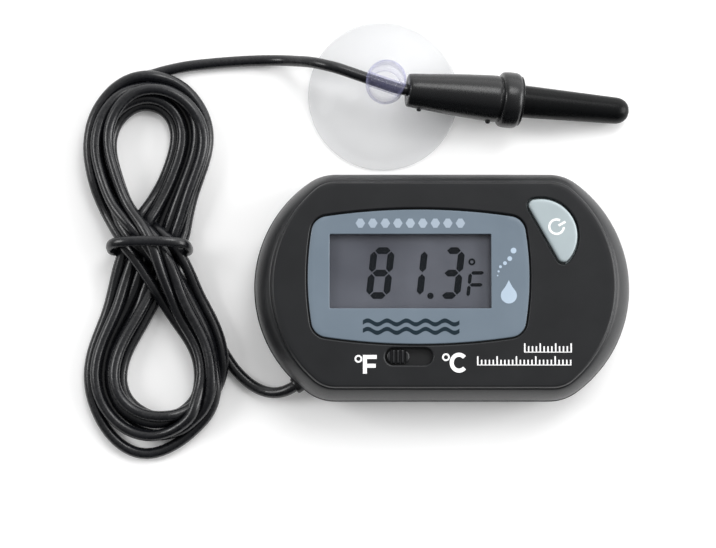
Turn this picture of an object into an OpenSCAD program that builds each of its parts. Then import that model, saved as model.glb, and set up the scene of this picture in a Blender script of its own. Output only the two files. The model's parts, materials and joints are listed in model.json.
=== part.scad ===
// Digital aquarium thermometer: display head, wired probe, hank of lead and suction cup.
// Origin: centre of the head's flat back. +X right, +Y up the display, +Z out of the front.

/* [Head] */
// Width of the head across its round ends
head_w = 59.9; // [59:0.1:60.5]
// Height of the head between its straight edges
head_h = 36.3; // [36.2:0.1:37]
// Radius of the round ends
end_r = 20.6; // [20.2:0.1:21]

/* [Display] */
// Width of the window in the fascia
window_w = 25.2; // [23:0.1:26]
// Height of the window in the fascia
window_h = 11.6; // [10:0.1:12]

/* [Controls] */
// Travel of the power button
button_travel = 0.6; // [0.4:0.1:0.6]
// Travel of the unit switch
switch_travel = 3.3; // [2:0.1:3.3]

/* [Battery] */
// Diameter of each button cell
cell_d = 11.6; // [11:0.1:11.6]
// Thickness of each button cell
cell_t = 5.4; // [4.8:0.1:5.4]

/* [Probe] */
// Length of the probe from the sleeve's back to the tip
probe_l = 36.5; // [36:0.2:38]
// Diameter of the sensor tube where it leaves the collar
tube_d = 5.2; // [4.8:0.1:5.3]

/* [Suction cup] */
// Diameter of the suction cup's rim
cup_d = 24; // [20:0.5:24]

/* [Hidden] */
$fn = 48;
eps = 0.01;

// Heights of the head's layers
floor_z = 1.6;      // inside of the rear panel
split_z = 5.0;      // parting line
ledge_z = 9.2;      // where the cavity narrows below the rim
roof_z = 11.5;      // underside of the front wall
recess_z = 12.1;    // floor of the fascia recess
front_z = 13.0;     // front plateau
board_z = 7.7;      // back of the circuit board
board_t = 1.0;
board_top = board_z + board_t;

// Head outlines: [end circle centre, end radius, half height, corner radius]
rim_x = 3.55;
rim_y = 2.45;
outer = [head_w / 2 - end_r, end_r, head_h / 2, 7.5];
plateau = [outer[0] - 2.4, end_r - rim_x + 2.4, head_h / 2 - rim_y, 4.5];
function lerp(a, b, t) = a + (b - a) * t;
function between(t) = [for (i = [0:3]) lerp(outer[i], plateau[i], t)];
function inset(d) = [outer[0], outer[1] - d, outer[2] - d, max(outer[3] - d, 1)];
function arc(c, r, a0, a1, n) =
    [for (i = [0:n]) c + r * [cos(lerp(a0, a1, i / n)), sin(lerp(a0, a1, i / n))]];
function quarter(s) =
    let(cy = s[2] - s[3],
        cx = s[0] + sqrt(pow(s[1] - s[3], 2) - cy * cy),
        a = atan2(cy, cx - s[0]))
    concat(arc([s[0], 0], s[1], 0, a, 9), arc([cx, cy], s[3], a + (90 - a) / 3, 90, 2));
function outline(s) =
    let(q = quarter(s), m = len(q) - 1)
    concat(q,
           [for (i = [m:-1:0]) [-q[i][0], q[i][1]]],
           [for (i = [1:m]) [-q[i][0], -q[i][1]]],
           [for (i = [m:-1:1]) [q[i][0], -q[i][1]]]);

// Rim profiles as [height, share of the way from the outer outline to the plateau]
front_rim = [[split_z, 0.07], [7.0, 0.1], [8.6, 0.2], [10.0, 0.36], [11.1, 0.55],
             [11.9, 0.74], [12.1, 0.8], [12.6, 0.86], [12.9, 0.93], [front_z, 1]];
rear_rim = [[0, 0.68], [0.5, 0.48], [1.4, 0.26], [2.6, 0.09], [3.8, 0.01], [split_z, 0]];

// Housing and board screws
housing_screw_at = [[24.2, 4.2], [24.2, -4.2], [-24.2, 4.2], [-24.2, -4.2]];
board_screw_at = [[-17.6, 12.2], [8.7, 12.9], [17.2, -9.6]];
screw_core_r = 0.75;
board_core_r = 0.55;

// Display
lcd_at = [-5.2, 2.05];
lcd_w = 29.4;
lcd_top = 9.9;
lcd_foot = -6.4;
lcd_shelf = -4.3;
lcd_x = lcd_at[0] - lcd_w / 2;
rear_glass_z = 10.2;
front_glass_z = 10.75;
glass_t = 0.55;
fascia_at = [-3.93, 1.2];

// Power button: a half moon turned to face the head's upper right corner
button_at = [15.63, 7.89];
button_turn = -60.8;
button_arc_r = 5.7;
button_drop = 0.6;
button_corner = 0.9;
dome_at = [17.3, 8.8];

// Unit switch
slot_x0 = -9.17;
slot_x1 = -1.73;
slot_y = -11.24;
slot_w = 2.64;
knob_l = 3.6;
knob_w = 2.2;
knob_x = slot_x0 + 0.25 + knob_l / 2;
skirt_l = 5.7;

// Battery bay
cell_at = [6.2, -8.3];
cell_z = 1.55;
door_w = 24.8;
door_top = 1.1;
door_end = -1.8;

// Lead and its exit from the head
lead_r = 0.9;
exit_turn = 213;
exit_at = [-22.98, -15.31, 3.1];
exit_dir = [cos(exit_turn), sin(exit_turn), 0];
anchor_depth = 7.5;

// Suction cup: the lead runs straight and level through its knob
cup_at = [-9.2, 32.4, 0];
cup_turn = -19;
hole_z = 7.6;
hole_r = 1.15;
knob_r = 3.2;

// Probe: its back end is held by the lead and its tip rests on the table
probe_at = [-5.5, 31.45, 7.4];
probe_turn = -4.14;
tip_r = 2.15;
probe_dip = asin((probe_at[2] - tip_r) / (probe_l - tip_r));
sleeve_l = 15.1;
collar_l = 3.8;
collar_r = 4.45;
bead_at = probe_l - 4;

// Hank: round lobes above and below a waist that the tie goes round
hank_top = [-47.6, 24.4];
hank_top_r = 11.1;
hank_low = [-46.2, -15.6];
hank_low_r = 12.0;
waist = [-46.7, 6.75];
waist_w = 10.6;
hank_t = 5.6;
waist_t = 7.8;

// Route of the lead from its anchor in the head into the hank
head_route = [exit_at - anchor_depth * exit_dir, exit_at - 4 * exit_dir, exit_at,
              [-24.4, -16.15, 2.9], [-26, -16.65, 2.3], [-27.8, -16.6, 1.6],
              [-29.6, -15.95, 1.15], [-31.3, -14.8, 0.95], [-33, -13.1, 0.95],
              [-34.5, -11, 0.95], [-35.9, -8.6, 0.95], [-37.2, -6, 0.95]];
// Route of the lead from the top of the hank through the suction cup to the probe
probe_route = [[-49.6, 34, 0.95], [-46.5, 35.2, 0.95], [-44, 35.9, 0.95], [-41, 36.5, 0.95],
               [-37.5, 36.9, 0.95], [-34, 37.2, 0.95], [-30.5, 37.4, 0.95], [-27.5, 37.4, 1.3],
               [-25.2, 37.2, 2.2], [-23.2, 36.8, 3.8], [-21.5, 36.4, 5.4], [-19.8, 35.9, 6.7],
               [-18.2, 35.4, 7.4], [-16.6, 34.95, 7.6], [-13, 33.71, 7.6], [-9.2, 32.4, 7.6],
               [-7.2, 31.74, 7.6], [-5.5, 31.45, 7.4], [-3.9, 31.33, 7.18],
               [-1.5, 31.16, 6.84]];

// Solid between stacked outlines; rings are [height, outline shape]
module loft(rings) {
    n = len(outline(rings[0][1]));
    k = len(rings);
    points = [for (r = rings) for (p = outline(r[1])) [p[0], p[1], r[0]]];
    sides = [for (j = [0:k - 2]) for (i = [0:n - 1])
        let(a = j * n + i, b = j * n + (i + 1) % n)
        each [[a, a + n, b], [b, a + n, b + n]]];
    polyhedron(points, concat([[for (i = [0:n - 1]) i]], sides,
                              [[for (i = [n - 1:-1:0]) (k - 1) * n + i]]));
}

module slab(s, z0, z1) {
    translate([0, 0, z0]) linear_extrude(z1 - z0) polygon(outline(s));
}

module box(x0, x1, y0, y1, z0, z1) {
    translate([x0, y0, z0]) cube([x1 - x0, y1 - y0, z1 - z0]);
}

module rod(r, z0, z1) {
    translate([0, 0, z0]) cylinder(r = r, h = z1 - z0);
}

module at_each(places) {
    for (p = places) translate([p[0], p[1], 0]) children();
}

// Half-moon outline grown by d on every side
function half_moon(d) =
    let(v = button_corner + button_drop,
        u = sqrt(pow(button_arc_r - button_corner, 2) - v * v),
        a = atan2(v, u))
    concat(arc([u, button_corner], button_corner + d, -90, a, 4),
           arc([0, -button_drop], button_arc_r + d, a + 8, 172 - a, 20),
           arc([-u, button_corner], button_corner + d, 180 - a, 270, 4));

module half_moon_slab(d, z0, z1) {
    translate([button_at[0], button_at[1], z0]) rotate(button_turn)
        linear_extrude(z1 - z0) polygon(half_moon(d));
}

// Barrel outline of the fascia grown by d: four shallow arcs joined by round corners
function barrel_corner(hw, hh, rt, rs, rc) =
    let(t = [0, hh - rt], s = [hw - rs, 0], a = rt - rc, b = rs - rc,
        v = s - t, m = norm(v), along = (m * m + a * a - b * b) / (2 * m),
        off = sqrt(a * a - along * along), e = v / m)
    t + along * e + off * [e[1], -e[0]];
function barrel(d) =
    let(hw = 17.28 + d, hh = 10.5 + d, rt = 99 + d, rs = 45 + d, rc = 2.6 + d,
        c = barrel_corner(hw, hh, rt, rs, rc),
        side_a = atan2(c[1], c[0] - hw + rs), top_a = atan2(c[1] - hh + rt, c[0]),
        q = concat(arc([hw - rs, 0], rs, 0, side_a, 4), arc(c, rc, side_a + 15, top_a - 15, 4),
                   arc([0, hh - rt], rt, top_a, 90, 5)),
        m = len(q) - 1)
    concat(q,
           [for (i = [m - 1:-1:0]) [-q[i][0], q[i][1]]],
           [for (i = [1:m]) [-q[i][0], -q[i][1]]],
           [for (i = [m - 1:-1:1]) [q[i][0], -q[i][1]]]);

module barrel_slab(d, z0, z1) {
    translate([fascia_at[0], fascia_at[1], z0]) linear_extrude(z1 - z0) polygon(barrel(d));
}

module window_box(grow, z0, z1) {
    box(lcd_at[0] - window_w / 2 - grow, lcd_at[0] + window_w / 2 + grow,
        lcd_at[1] - window_h / 2 - grow, lcd_at[1] + window_h / 2 + grow, z0, z1);
}

module stadium(x0, x1, w, z0, z1) {
    box(x0 + w / 2, x1 - w / 2, slot_y - w / 2, slot_y + w / 2, z0, z1);
    translate([x0 + w / 2, slot_y, 0]) rod(w / 2, z0, z1);
    translate([x1 - w / 2, slot_y, 0]) rod(w / 2, z0, z1);
}

// Frame whose +Z runs outwards along the lead where it leaves the head
module at_exit() {
    translate(exit_at) rotate([0, 90, exit_turn]) children();
}

// Frame whose +Z runs along the probe from its back end to its tip
module at_probe() {
    translate(probe_at) rotate([0, 90 + probe_dip, probe_turn]) children();
}

module front_shell() {
    color("#303134") difference() {
        union() {
            difference() {
                loft([for (r = front_rim) [r[0], between(r[1])]]);
                slab(inset(2), split_z - 1, ledge_z);
                slab(inset(3.7), ledge_z - eps, roof_z);
            }
            difference() {
                slab(inset(1.25), split_z - 0.9, split_z + 0.4);
                slab(inset(2), split_z - 1, split_z + 0.5);
                at_exit() rod(2.2, -5, 3);
            }
            at_each(housing_screw_at) rod(2.2, split_z - 0.4, roof_z + 0.2);
            at_each(board_screw_at) rod(1.5, board_top, roof_z + 0.2);
        }
        at_each(housing_screw_at) rod(screw_core_r, split_z - 1, 10.6);
        at_each(board_screw_at) rod(board_core_r, board_top - 1, 11.4);
        barrel_slab(0.35, recess_z, front_z + 1);
        window_box(1.1, roof_z - 1, recess_z + 1);
        half_moon_slab(0.35, roof_z - 1, front_z + 1);
        stadium(slot_x0, slot_x1, slot_w, roof_z - 1, front_z + 1);
    }
}

module cell_ring(r, z0, z1) {
    at_each([[cell_at[0], cell_at[1]], [-cell_at[0], cell_at[1]]]) rod(r, z0, z1);
}

module rear_shell() {
    color("#2b2c2e") difference() {
        union() {
            difference() {
                loft([for (r = rear_rim) [r[0], between(r[1])]]);
                slab(inset(2.2), floor_z, split_z + 1);
                slab(inset(1.1), split_z - 1, split_z + 1);
            }
            difference() {
                cell_ring(6.6, floor_z - 0.2, 5.8);
                cell_ring(cell_d / 2 + 0.15, floor_z - 1, 7);
            }
            at_each(housing_screw_at) rod(2.4, floor_z - 0.2, split_z - 0.5);
        }
        at_each(housing_screw_at) rod(1.75, -1, 1.8);
        at_each(housing_screw_at) rod(1, 0, split_z);
        // door channel, its side grooves, the cells' opening and the contact's way out
        box(-door_w / 2 - 0.1, door_w / 2 + 0.1, -20, door_end + 0.1, -1, door_top + 0.05);
        box(-13.3, 13.3, -20, door_end + 0.1, 0.5, door_top + 0.05);
        box(-12.1, 12.1, -14.2, -2.4, 0, floor_z + 0.1);
        box(-9.3, 9.3, -20, -14, 0, floor_z);
        cell_ring(cell_d / 2 + 0.15, 0, floor_z + 1);
        at_exit() rod(1.45, -6, 3);
    }
}

module fascia_plate() {
    color("#7c8a96") difference() {
        barrel_slab(0, recess_z, front_z - 0.15);
        window_box(0, recess_z - 1, front_z + 1);
    }
}

module display_lens() {
    color("#dfe6ea", 0.35) window_box(1, roof_z, recess_z - 0.02);
}

module display_frame() {
    color("#e8e8e2") difference() {
        box(lcd_x - 0.7, lcd_x + lcd_w + 0.7, lcd_foot - 0.7, lcd_top + 0.7, board_top, 11.3);
        box(lcd_x - 0.1, lcd_x + lcd_w + 0.1, lcd_foot - 0.1, lcd_top + 0.1, 10.0, 12);
        box(lcd_x - 0.1, lcd_x + lcd_w + 0.1, lcd_foot - 0.1, lcd_shelf - 0.1, 8, 12);
    }
}

module lcd_front_polariser() {
    color("#8f9698", 0.6) box(lcd_x + 0.5, lcd_x + lcd_w - 0.5, lcd_shelf + 0.4, lcd_top - 0.5,
                              front_glass_z + glass_t, front_glass_z + glass_t + 0.15);
}

module lcd_front_glass() {
    color("#aab2b2", 0.5) box(lcd_x, lcd_x + lcd_w, lcd_foot, lcd_top,
                              front_glass_z, front_glass_z + glass_t);
}

module lcd_rear_glass() {
    color("#aab2b2", 0.5) box(lcd_x, lcd_x + lcd_w, lcd_shelf, lcd_top,
                              rear_glass_z, rear_glass_z + glass_t);
}

module lcd_reflector() {
    color("#b9bdb6") box(lcd_x + 0.3, lcd_x + lcd_w - 0.3, lcd_shelf + 0.2, lcd_top - 0.2,
                         rear_glass_z - 0.15, rear_glass_z);
}

module zebra_strip() {
    color("#d8a0a8") box(lcd_x + 1, lcd_x + lcd_w - 1, lcd_foot + 0.2, lcd_shelf - 0.3,
                         board_top, front_glass_z);
}

module circuit_board() {
    color("#2f6b45") difference() {
        intersection() {
            slab(inset(2.5), board_z, board_top);
            box(-21.6, 21.6, -20, 20, board_z - 1, board_top + 1);
        }
        at_each(board_screw_at) rod(0.7, board_z - 1, board_top + 1);
    }
}

module controller_blob() {
    color("#1c1c1e") translate([-11, 8.4, 0]) rotate_extrude()
        polygon([[0, board_z], [4.2, board_z], [4, board_z - 0.4], [3.2, board_z - 0.9],
                 [1.8, board_z - 1.2], [0, board_z - 1.3]]);
}

module timing_crystal() {
    color("#c9ccd0") {
        translate([3, 7.4, board_z - 1.15]) rotate([0, 90, 0]) cylinder(r = 1, h = 6);
        for (s = [-0.5, 0.5]) box(1.4, 3.1, 7.4 + s - 0.15, 7.4 + s + 0.15, board_z - 1.3, board_z - 1);
        for (s = [-0.5, 0.5]) box(1.4, 1.7, 7.4 + s - 0.15, 7.4 + s + 0.15, board_z - 1.3, board_z);
    }
}

module chip(x, y, l, w, h) {
    box(x - l / 2, x + l / 2, y - w / 2, y + w / 2, board_z - h, board_z);
}

module chip_capacitors() {
    color("#b08f5e") for (i = [0:4]) chip(-17 + 3 * i, 2.6, 1.6, 0.8, 0.7);
}

module chip_resistors() {
    color("#26272b") for (i = [0:5]) chip(3 + 2.6 * i, 3.2, 1.6, 0.8, 0.45);
}

module switch_housing() {
    color("#b9bcc0") difference() {
        box(-9.8, -1.1, slot_y - 1.8, slot_y + 1.8, board_top, 10.7);
        box(-9.5, -1.4, slot_y - 1.5, slot_y + 1.5, board_top - 1, 10.4);
        box(knob_x - 1, knob_x + switch_travel + 1, slot_y - 0.8, slot_y + 0.8, 10, 11);
    }
}

module switch_knob() {
    color("#18191b") {
        difference() {
            stadium(knob_x - knob_l / 2, knob_x + knob_l / 2, knob_w, 11.1, 12.75);
            for (i = [-1.5:1:1.5])
                box(knob_x + 0.7 * i - 0.16, knob_x + 0.7 * i + 0.16, slot_y - 2, slot_y + 2, 12.4, 13);
        }
        // skirt that keeps the slot covered at both ends of the travel
        box(knob_x - skirt_l, knob_x + skirt_l, slot_y - 1.8, slot_y + 1.8, 10.85, 11.3);
        box(knob_x - 0.7, knob_x + 0.7, slot_y - 0.6, slot_y + 0.6, 9.6, 11.2);
        box(knob_x - 1.8, knob_x + 1.8, slot_y - 1.3, slot_y + 1.3, 9.1, 10.2);
    }
}

module switch_wiper() {
    color("#c8824a") box(knob_x - 1.5, knob_x + 1.5, slot_y - 0.9, slot_y + 0.9, 8.85, 9.1);
}

module power_button() {
    color("#aeb9bd") {
        half_moon_slab(0, 11.2, front_z + 0.35);
        half_moon_slab(0.8, 10.6, 11.35);
        translate([dome_at[0], dome_at[1], 0]) rod(2.1, 10.3, 10.7);
    }
}

module button_dome() {
    color("#d9dadb") translate([dome_at[0], dome_at[1], 0]) rotate_extrude()
        polygon([[3.3, board_top], [4.3, board_top], [4.3, 9.2], [3.6, 9.2], [2.2, 10.3],
                 [0, 10.3], [0, 9.7], [1.7, 9.7]]);
}

module carbon_pill() {
    color("#202022") translate([dome_at[0], dome_at[1], 0])
        rod(1.3, board_top + button_travel + 0.05, 9.7);
}

module button_cell(x) {
    color("#c4c6c8") translate([x, cell_at[1], 0]) difference() {
        rod(cell_d / 2, cell_z, cell_z + cell_t);
        difference() {
            rod(cell_d / 2 + 1, cell_z + cell_t - 0.35, cell_z + cell_t + 1);
            rod(cell_d / 2 - 1.1, cell_z + cell_t - 1, cell_z + cell_t + 2);
        }
    }
}

module button_cell_a() {
    button_cell(-cell_at[0]);
}

module button_cell_b() {
    button_cell(cell_at[0]);
}

module leaf_contact(x) {
    cell_top = cell_z + cell_t + 0.05;
    box(x - 2.2, x + 2.2, -10, -6.6, cell_top, cell_top + 0.2);
    box(x - 2.2, x + 2.2, -6.8, -6.6, cell_top, board_z);
    box(x - 2.2, x + 2.2, -6.8, -3, board_z - 0.2, board_z);
}

module positive_contact() {
    color("#c9b37a") leaf_contact(cell_at[0]);
}

module negative_contact() {
    color("#c9b37a") leaf_contact(-cell_at[0]);
}

module door_contact() {
    color("#c9b37a") {
        box(-8.8, 8.8, -10.8, -5.8, door_top, door_top + 0.2);
        for (x = [-cell_at[0], cell_at[0]])
            box(x - 1.2, x + 1.2, -9.5, -7.1, door_top + 0.1, cell_z - 0.05);
    }
}

module battery_door() {
    color("#2b2c2e") {
        difference() {
            intersection() {
                loft([for (r = rear_rim) [r[0], between(r[1])]]);
                union() {
                    box(-door_w / 2, door_w / 2, -20, door_end, 0, door_top);
                    box(-9.2, 9.2, -20, -16.5, 0, floor_z - 0.05);
                }
            }
            for (i = [0:4]) box(-5, 5, -14.6 + 1.1 * i, -14.1 + 1.1 * i, -1, 0.3);
        }
        for (s = [-1, 1]) translate([s * (door_w / 2 + 0.35), 0, 0])
            box(-0.4, 0.4, -15.5, door_end, 0.55, door_top);
    }
}

module screw(head_r, head_z, head_t, shank_r, shank_top) {
    difference() {
        rod(head_r, head_z, head_z + head_t);
        for (a = [0, 90]) rotate(a)
            box(-0.6 * head_r, 0.6 * head_r, -0.17, 0.17, head_z - 1, head_z + 0.5 * head_t);
    }
    rod(shank_r, head_z + head_t - 0.1, shank_top);
}

module housing_screws() {
    color("#a8abb0") at_each(housing_screw_at) screw(1.6, 0.6, 1.2, screw_core_r - 0.03, 9.8);
}

module board_screws() {
    color("#a8abb0") at_each(board_screw_at) screw(1.2, board_z - 0.7, 0.7, board_core_r - 0.03, 11);
}

module cable_grommet() {
    color("#1b1c1d") at_exit() difference() {
        union() {
            rod(1.4, -3.2, 0.6);
            rod(1.65, 0.6, 1.1);
        }
        rod(lead_r + 0.02, -4, 2);
    }
}

module cable_clamp() {
    color("#3a3b3d") difference() {
        at_exit() translate([-1.4, -2, -6.6]) cube([1.4 + exit_at[2] - floor_z, 4, 2.6]);
        at_exit() rod(lead_r + 0.02, -8, 2);
    }
}

module lead_wires() {
    color("#b33a2e") for (s = [-0.45, 0.45]) at_exit() translate([0, s, 0]) {
        rod(0.28, -anchor_depth - 1.6, -anchor_depth);
        translate([0, 0, -anchor_depth - 1.6]) rotate([0, -90, 0]) rod(0.28, 0, board_z - exit_at[2]);
    }
}

// Eight-sided tube swept along a route, two rings to each stretch between its points
function curve(p) =
    let(n = len(p) - 1)
    concat([for (i = [0:n - 1]) for (t = [0, 0.5])
        let(a = p[max(i - 1, 0)], b = p[i], c = p[i + 1], d = p[min(i + 2, n)])
        0.5 * (2 * b + (c - a) * t + (2 * a - 5 * b + 4 * c - d) * t * t
               + (3 * b - a - 3 * c + d) * t * t * t)], [p[n]]);
module cord(route) {
    line = curve(route);
    n = len(line) - 1;
    sides = 8;
    rings = [for (i = [0:n])
        let(dir = line[min(i + 1, n)] - line[max(i - 1, 0)],
            flat = [dir[1], -dir[0], 0] / norm([dir[1], dir[0]]),
            up = cross(flat, dir) / norm(dir))
        for (k = [0:sides - 1])
        line[i] + lead_r * (cos(360 * k / sides) * flat + sin(360 * k / sides) * up)];
    walls = [for (i = [0:n - 1]) for (k = [0:sides - 1])
        let(a = i * sides + k, b = i * sides + (k + 1) % sides)
        each [[a, b, a + sides], [b, b + sides, a + sides]]];
    polyhedron(rings, concat([[for (k = [sides - 1:-1:0]) k]], walls,
                             [[for (k = [0:sides - 1]) n * sides + k]]));
}

module lead_from_head() {
    color("#141414") cord(head_route);
}

module lead_to_probe() {
    color("#141414") cord(probe_route);
}

module lobe(c, r, tip) {
    translate([c[0], c[1], 0]) cylinder(r = r, h = hank_t);
    side = sign(tip - c[1]);
    linear_extrude(hank_t)
        polygon([[c[0] - 0.9 * r, c[1] + 0.43 * r * side], [c[0] + 0.9 * r, c[1] + 0.43 * r * side],
                 [waist[0] + waist_w / 2, tip], [waist[0] - waist_w / 2, tip]]);
}

module lead_hank() {
    color("#141414") {
        lobe(hank_top, hank_top_r, waist[1] + 2.2);
        lobe(hank_low, hank_low_r, waist[1] - 2.2);
        box(waist[0] - waist_w / 2, waist[0] + waist_w / 2, waist[1] - 3, waist[1] + 3, 1.3, waist_t);
    }
}

module hank_tie() {
    color("#121212") difference() {
        box(waist[0] - 6.6, waist[0] + 6.6, waist[1] - 1.1, waist[1] + 1.1, 0, waist_t + 1.2);
        box(waist[0] - 5.4, waist[0] + 5.4, waist[1] - 2, waist[1] + 2, 1.2, waist_t + 0.1);
    }
}

module probe_sleeve() {
    color("#1f2022") at_probe() difference() {
        union() {
            rotate_extrude() polygon([[0, 0], [2.3, 0], [2.6, 0.35], [2.75, 3], [3.15, 9],
                                      [3.55, sleeve_l - 1], [3.72, sleeve_l], [0, sleeve_l]]);
            rotate_extrude() polygon([[0, sleeve_l - eps], [4.2, sleeve_l - eps],
                                      [collar_r, sleeve_l + 0.3],
                                      [collar_r, sleeve_l + collar_l - 0.3],
                                      [4.2, sleeve_l + collar_l], [0, sleeve_l + collar_l]]);
            translate([0, -2.6, 2]) rotate([90, 0, 0]) cylinder(r = 0.45, h = 0.5);
            translate([0, -3.4, 13.4]) rotate([90, 0, 0]) cylinder(r = 0.45, h = 0.5);
        }
        rod(lead_r + 0.03, -1, 6);
        rod(1.7, 4.5, sleeve_l + 1);
        rod(tube_d / 2 + 0.3, sleeve_l + collar_l - 1.2, sleeve_l + collar_l + 1);
        rod(2.02, 12, sleeve_l + collar_l + 1);
    }
}

module probe_tube() {
    base = sleeve_l + collar_l - 1.1;
    color("#1b1c1e") at_probe() difference() {
        union() {
            rotate_extrude()
                polygon(concat([[0, base], [tube_d / 2, base], [tip_r, probe_l - tip_r]],
                               [for (a = [15:15:90]) [tip_r * cos(a), probe_l - tip_r + tip_r * sin(a)]]));
            rod(2, 12.3, base + 0.1);
        }
        rod(1.5, 12, probe_l - 2);
    }
}

module thermistor_bead() {
    color("#20262e") at_probe() rotate_extrude()
        polygon([[0, bead_at - 0.8], [0.6, bead_at - 0.8], [0.8, bead_at - 0.4],
                 [0.8, bead_at + 0.4], [0.5, bead_at + 0.8], [0, bead_at + 0.8]]);
}

module thermistor_legs() {
    color("#c0c4c8") at_probe() for (s = [-0.35, 0.35])
        translate([s, 0, 0]) rod(0.12, 5, bead_at - 0.8);
}

module probe_potting() {
    color("#5b4a3a") at_probe() difference() {
        rod(1.45, bead_at - 4, bead_at + 1.9);
        rod(0.85, bead_at - 0.85, bead_at + 0.85);
        for (s = [-0.35, 0.35]) translate([s, 0, 0]) rod(0.15, 5, bead_at);
    }
}

module suction_cup() {
    rim = cup_d / 2;
    color("#dfe3ea", 0.5) translate(cup_at) difference() {
        rotate_extrude()
            polygon([[rim - 1.3, 0], [rim - 0.3, 0], [rim, 0.15], [rim, 0.5], [rim - 2.5, 1.6], [rim - 5.5, 2.9],
                     [3.9, 4.1], [2.7, 4.9], [2.45, 5.4], [knob_r - 0.2, 5.9], [knob_r, 6.4],
                     [knob_r, 8.8], [knob_r - 0.4, 9.8], [knob_r - 1.3, 10.4], [0, 10.6],
                     [0, 2.6], [3.5, 2.1], [7.5, 1.2]]);
        translate([0, 0, hole_z]) rotate([0, 90, cup_turn]) cylinder(r = hole_r, h = 9, center = true);
    }
}

front_shell();
rear_shell();
fascia_plate();
display_lens();
display_frame();
lcd_front_polariser();
lcd_front_glass();
lcd_rear_glass();
lcd_reflector();
zebra_strip();
circuit_board();
controller_blob();
timing_crystal();
chip_capacitors();
chip_resistors();
switch_housing();
switch_knob();
switch_wiper();
power_button();
button_dome();
carbon_pill();
button_cell_a();
button_cell_b();
positive_contact();
negative_contact();
door_contact();
battery_door();
housing_screws();
board_screws();
cable_grommet();
cable_clamp();
lead_wires();
lead_from_head();
lead_hank();
lead_to_probe();
hank_tie();
probe_sleeve();
probe_tube();
thermistor_bead();
thermistor_legs();
probe_potting();
suction_cup();
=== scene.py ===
import json
import math

import bmesh
import bpy
import numpy as np
from mathutils import Matrix, Vector


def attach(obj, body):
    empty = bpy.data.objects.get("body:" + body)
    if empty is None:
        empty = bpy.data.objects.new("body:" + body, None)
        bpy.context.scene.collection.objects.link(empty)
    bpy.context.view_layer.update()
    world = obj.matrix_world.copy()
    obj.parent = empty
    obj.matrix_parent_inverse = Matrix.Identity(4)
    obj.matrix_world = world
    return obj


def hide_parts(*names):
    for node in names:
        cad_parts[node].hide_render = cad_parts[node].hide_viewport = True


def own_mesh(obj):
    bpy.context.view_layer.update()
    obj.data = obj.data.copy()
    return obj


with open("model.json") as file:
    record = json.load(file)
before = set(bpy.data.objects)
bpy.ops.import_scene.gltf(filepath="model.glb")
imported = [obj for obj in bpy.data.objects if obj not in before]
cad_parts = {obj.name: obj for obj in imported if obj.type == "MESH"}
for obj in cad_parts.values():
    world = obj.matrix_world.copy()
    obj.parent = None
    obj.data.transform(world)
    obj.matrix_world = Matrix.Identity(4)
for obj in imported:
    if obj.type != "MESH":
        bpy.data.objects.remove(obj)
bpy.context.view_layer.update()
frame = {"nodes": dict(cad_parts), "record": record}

MM = 0.001
FACING_UP = Vector((0, 0, 1))

# Heights over the floor, in millimetres like all sizes down to the lights: the line where the
# head's shells meet, its plateau, the fascia's face, the power button's top and the face of the
# display's front film
PARTING_Z = 5.0
PLATEAU_Z = 13.0
FASCIA_Z = 12.85
BUTTON_Z = 13.35
DISPLAY_Z = 11.455

# -------------------------------- camera

# Looks almost straight down from 0.31 m, over the whole object; these are metres and degrees
CAMERA_AT = (-0.01336, -0.02106, 0.3124)
CAMERA_TILT = 4.326
CAMERA_LENS, CAMERA_SENSOR = 97.04, 36

scene = bpy.context.scene
scene.view_settings.view_transform = "Standard"
scene.view_settings.look = "None"

camera = bpy.data.objects.new("camera", bpy.data.cameras.new("camera"))
camera.data.sensor_width = CAMERA_SENSOR
camera.data.lens = CAMERA_LENS
camera.data.clip_start = 0.01
camera.data.clip_end = 20
camera.location = CAMERA_AT
camera.rotation_euler = (math.radians(CAMERA_TILT), 0, 0)
scene.collection.objects.link(camera)
scene.camera = camera


# -------------------------------- materials

def linear(code):
    """Linear colour from a hex code."""
    parts = [int(code[i:i + 2], 16) / 255 for i in (1, 3, 5)]
    return [c / 12.92 if c <= 0.04045 else ((c + 0.055) / 1.055) ** 2.4 for c in parts] + [1]


def noise(tree, coords, scale, detail):
    """Noise in object space, scale in features per millimetre."""
    n = tree.nodes.new("ShaderNodeTexNoise")
    n.inputs["Scale"].default_value = scale / MM
    n.inputs["Detail"].default_value = detail
    tree.links.new(coords, n.inputs["Vector"])
    return n.outputs["Fac"]


def spread(tree, fac, low, high, start=0.3, end=0.7):
    """Maps a value from start..end onto low..high, held at both ends."""
    r = tree.nodes.new("ShaderNodeMapRange")
    r.inputs["From Min"].default_value = start
    r.inputs["From Max"].default_value = end
    r.inputs["To Min"].default_value = low
    r.inputs["To Max"].default_value = high
    tree.links.new(fac, r.inputs["Value"])
    return r.outputs["Result"]


def blend(tree, fac, first, second):
    """Mix of two colours, each a constant or another node's output."""
    mix = tree.nodes.new("ShaderNodeMix")
    mix.data_type = "RGBA"
    tree.links.new(fac, mix.inputs[0])
    for socket, colour in ((mix.inputs[6], first), (mix.inputs[7], second)):
        if isinstance(colour, bpy.types.NodeSocket):
            tree.links.new(colour, socket)
        else:
            socket.default_value = colour
    return mix.outputs[2]


def calculate(tree, operation, first, second):
    """Sum or product of two node outputs."""
    node = tree.nodes.new("ShaderNodeMath")
    node.operation = operation
    tree.links.new(first, node.inputs[0])
    tree.links.new(second, node.inputs[1])
    return node.outputs[0]


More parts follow.
